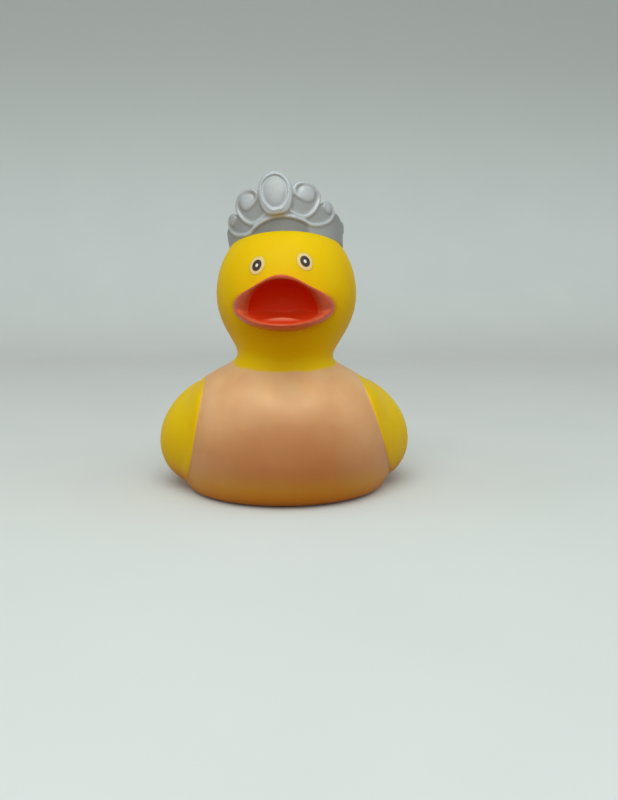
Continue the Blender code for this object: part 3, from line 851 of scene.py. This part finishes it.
def makeEye(side, across, height, skin):
    # thin oval of paint that follows the head; its own flat places go into eyePlace
    start = Vector((across * mm, cadBox[0].y - 10.0 * mm, height * mm))
    spot, normal, _, _ = skin.ray_cast(start, Vector((0.0, 1.0, 0.0)))
    across3 = Vector((0.0, 0.0, 1.0)).cross(normal).normalized()
    up3 = normal.cross(across3).normalized()
    tilt = radians(side * eye["tilt"])
    reachX = eye["ringWidth"] / 2.0
    reachY = eye["ringHeight"] / 2.0
    rings = 32
    deselectAll()
    bpy.ops.mesh.primitive_uv_sphere_add(segments=64, ring_count=rings, radius=1.0, location=(0, 0, 0))
    piece = bpy.context.object
    flat = piece.data.attributes.new("eyePlace", "FLOAT_VECTOR", "POINT")
    places = []
    for vertex in piece.data.vertices:
        x, y, z = vertex.co
        turn = atan2(y, x)
        share = acos(max(-1.0, min(1.0, -z))) / pi
        size = share / 0.5 if share < 0.5 else (1.0 - share) / 0.5
        u = reachX * size * cos(turn)
        v = reachY * size * sin(turn)
        leanU = u * cos(tilt) - v * sin(tilt)
        leanV = u * sin(tilt) + v * cos(tilt)
        guess = spot + (across3 * leanU + up3 * leanV) * mm
        found, facing, _, _ = skin.ray_cast(guess + normal * 4.0 * mm, -normal)
        lift = eye["paint"] * (1.0 - size ** 6) if share > 0.5 else -0.25 * (1.0 - size ** 2)
        vertex.co = found + facing * lift * mm
        places.extend((u, v, 0.0))
    flat.data.foreach_set("vector", places)
    makeActive(piece)
    return piece


def setMouthZones(piece):
    # mouthDeep is 1 inside the mouth's outline and 0 on the lips; the tongue mark is the front of the
    # tongue's swell, painted lighter as a highlight; the floor mark is where the mouth's inside faces up,
    # painted darker as shade
    back = headFrame.inverted()
    turnBack = back.to_3x3()
    front = body["headDepth"] / 2.0 + beak["upperLength"]
    lower = body["headDepth"] / 2.0 + beak["lowerLength"]
    level = headHeight - beak["belowHead"]
    half = beak["mouthWidth"] / 2.0
    sag = beak["cornerSag"]
    zones = {"mouthDeep": [], "tongue": [], "mouthFloorShade": []}
    for vertex in piece.data.vertices:
        x, y, z = (back @ vertex.co) / mm
        bow = sqrt(max(0.0, 1.0 - (x / half) ** 2))
        top = (beak["mouthRise"] + sag) * bow ** 1.05 - sag
        bottom = (sag - beak["mouthDrop"]) * bow ** 1.2 - sag
        margin = min(top - z + level, z - level - bottom, half - abs(x))
        inside = smooth((margin + 0.35) / 0.7) * smooth((front + y - 0.6) / 2.0)
        swell = exp(-(x / 4.0) ** 4 - ((-y - lower + 3.0) / 0.6) ** 2)
        facingUp = (turnBack @ vertex.normal).z
        zones["mouthDeep"].append(inside)
        zones["tongue"].append(swell * inside if z < level - 1.0 else 0.0)
        zones["mouthFloorShade"].append(inside * smooth((facingUp - 0.1) / 0.5) * smooth(level - z))
    for name, values in zones.items():
        piece.data.attributes.new(name, "FLOAT", "POINT").data.foreach_set("value", values)


def setCrownZones(piece):
    # insideRing is 1 on the crown's inner face, which is left bare; relief is how far, in
    # millimetres, a point stands proud of the wall's outer face; the third mark is painted shade under
    # the front arch, and a little darker on the jewel's stone
    back = crownFrame().inverted()
    turnBack = back.to_3x3()
    inner = piece.data.attributes.new("insideRing", "FLOAT", "POINT")
    proud = piece.data.attributes.new("relief", "FLOAT", "POINT")
    archShadeAndStone = piece.data.attributes.new("archShadeAndStone", "FLOAT", "POINT")
    insides, prouds, recesses = [], [], []
    for vertex in piece.data.vertices:
        x, y, z = (back @ vertex.co) / mm
        radius = sqrt(x * x + y * y)
        outer = crown["width"] / 2.0 + crown["flare"] * z
        facing = (turnBack @ vertex.normal).dot(Vector((x, y, 0.0)).normalized())
        insides.append(smooth((outer - crown["wall"] + 0.5 - radius) / 0.4)
                       * smooth((0.2 - facing) / 0.4))
        prouds.append(radius - outer)
        along = (atan2(x, -y) - radians(crown["turn"])) * crown["width"] / 2.0
        underArch = smooth((4.2 - 0.030 * along * along - z) / 0.8) * smooth((9.5 - abs(along)) / 1.5)
        across = along / (0.36 * crown["jewelWidth"])
        up = (z - crown["jewelRise"] - 0.6) / (0.37 * crown["jewelHeight"])
        stone = smooth((1.05 - sqrt(across * across + up * up)) / 0.15)
        recesses.append(max(crownFinish["underArch"] * underArch, crownFinish["onStone"] * stone))
    inner.data.foreach_set("value", insides)
    proud.data.foreach_set("value", prouds)
    archShadeAndStone.data.foreach_set("value", recesses)


beakPiece = makeBeak("beak")
setMouthZones(beakPiece)
print("beak shaped")
crownPiece = makeCrown()
setCrownZones(crownPiece)
print("crown shaped", len(crownPiece.data.polygons), "faces")
bodyPiece = makeDuckBody(beakPiece)
print("body shaped", len(bodyPiece.data.polygons), "faces")
skin = skinTree(bodyPiece)
eyes = [makeEye(side, across, height, skin) for across, height, side in eye["places"]]
finished(bodyPiece, "duckBody", softVinyl())
finished(beakPiece, "beak", beakPaint())
finished(crownPiece, "crown", crownPaint())
enamel = eyePaint()
for piece, name in zip(eyes, ("eyeRight", "eyeLeft")):
    finished(piece, name, enamel)
print("pieces finished")


# Floor, light and camera

studio = dict(floor="#E6EFEC", floorCloud="#DEE8E5", backdrop="#C2CECB", bounce="#946638", sky="#E6ECEE",
              sweep=700.0, sweepFront=1500.0, sweepLength=3600.0, sweepWidth=6000.0, sweepRadius=300.0,
              keyPlace=(-60.0, -360.0, 560.0), keySize=560.0, keyPower=1.7, zenith=0.82, horizon=0.92)


def makeFloor():
    # pale sweep: the floor runs back and curves up into the backdrop
    deselectAll()
    bpy.ops.mesh.primitive_plane_add(size=1.0, location=(0, 0, 0))
    piece = bpy.context.object
    piece.name = "floor"
    bpy.ops.object.mode_set(mode="EDIT")
    bpy.ops.mesh.select_all(action="SELECT")
    bpy.ops.mesh.subdivide(number_cuts=63)
    bpy.ops.object.mode_set(mode="OBJECT")
    back = studio["sweep"]
    radius = studio["sweepRadius"]
    for vertex in piece.data.vertices:
        x, y, z = vertex.co
        run = (y + 0.5) * studio["sweepLength"] - studio["sweepFront"]
        along = run - (back - radius)
        if along <= 0.0:
            reach, height = run, 0.0
        elif along < radius * pi / 2.0:
            reach = back - radius + radius * sin(along / radius)
            height = radius - radius * cos(along / radius)
        else:
            reach, height = back, radius + along - radius * pi / 2.0
        vertex.co = Vector((x * studio["sweepWidth"], reach, height)) * mm
    bpy.ops.object.shade_smooth()
    return piece


def paleSweep():
    # painted board, matt: the camera sees it pale, and it throws a warmer, dimmer light on the duck
    material, tree = newMaterial("mattPaintedBoard")
    place = objectPlace(tree)
    rays = addNode(tree, "ShaderNodeLightPath").outputs
    seen = mathOf(tree, "MAXIMUM", rays["Is Camera Ray"],
                  mathOf(tree, "MAXIMUM", rays["Is Glossy Ray"], rays["Is Transmission Ray"]))
    tint = blendColour(tree, noiseOf(tree, place, 60.0), linear(studio["floor"]),
                       linear(studio["floorCloud"]))
    # the sweep is painted darker as it rises: painted shade
    rise = addNode(tree, "ShaderNodeSeparateXYZ", {0: place}).outputs["Z"]
    tint = blendColour(tree, rampOf(tree, rise, 0.0, 420.0 * mm), tint, linear(studio["backdrop"]))
    colour = blendColour(tree, seen, linear(studio["bounce"]), tint)
    surface = addNode(tree, "ShaderNodeBsdfPrincipled",
                      {"Base Color": colour, "Roughness": 0.8, "Specular IOR Level": 0.2})
    addNode(tree, "ShaderNodeOutputMaterial", {"Surface": surface.outputs[0]})
    return material


def addArea(name, place, target, size, power, colour):
    deselectAll()
    bpy.ops.object.light_add(type="AREA", location=Vector(place) * mm)
    lamp = bpy.context.object
    lamp.name = name
    lamp.data.shape = "DISK"
    lamp.data.size = size * mm
    lamp.data.energy = power
    lamp.data.color = colour
    lamp.rotation_euler = (Vector(target) - Vector(place)).to_track_quat("-Z", "Y").to_euler()


floor = makeFloor()
floor.data.materials.append(paleSweep())
addArea("keyLamp", studio["keyPlace"], (0.0, 0.0, 50.0), studio["keySize"], studio["keyPower"],
        (1.0, 0.985, 0.96))


def makeWorld():
    # even room light, a little brighter from the sides than from above
    world = bpy.data.worlds.new("studioWorld")
    bpy.context.scene.world = world
    world.use_nodes = True
    tree = world.node_tree
    tree.nodes.clear()
    direction = addNode(tree, "ShaderNodeTexCoord").outputs["Generated"]
    rise = addNode(tree, "ShaderNodeSeparateXYZ", {0: direction}).outputs["Z"]
    level = addNode(tree, "ShaderNodeMapRange", {"Value": rise, "From Min": 0.0, "From Max": 1.0,
                                                 "To Min": studio["horizon"], "To Max": studio["zenith"]})
    sky = addNode(tree, "ShaderNodeBackground",
                  {"Color": linear(studio["sky"]), "Strength": level.outputs[0]})
    addNode(tree, "ShaderNodeOutputWorld", {"Surface": sky.outputs[0]})


makeWorld()

view = dict(place=(-16.7, -285.0, 72.6), direction=(0.0861, 0.9839, -0.1564), lens=38.61)
cameraData = bpy.data.cameras.new("camera")
cameraData.sensor_width = 36.0
cameraData.lens = view["lens"]
cameraData.clip_start = 10.0 * mm
cameraData.clip_end = 20.0
camera = bpy.data.objects.new("camera", cameraData)
bpy.context.scene.collection.objects.link(camera)
camera.location = Vector(view["place"]) * mm
camera.rotation_euler = Vector(view["direction"]).to_track_quat("-Z", "Y").to_euler()
bpy.context.scene.camera = camera
bpy.context.scene.view_settings.view_transform = "Standard"
print("stage set")
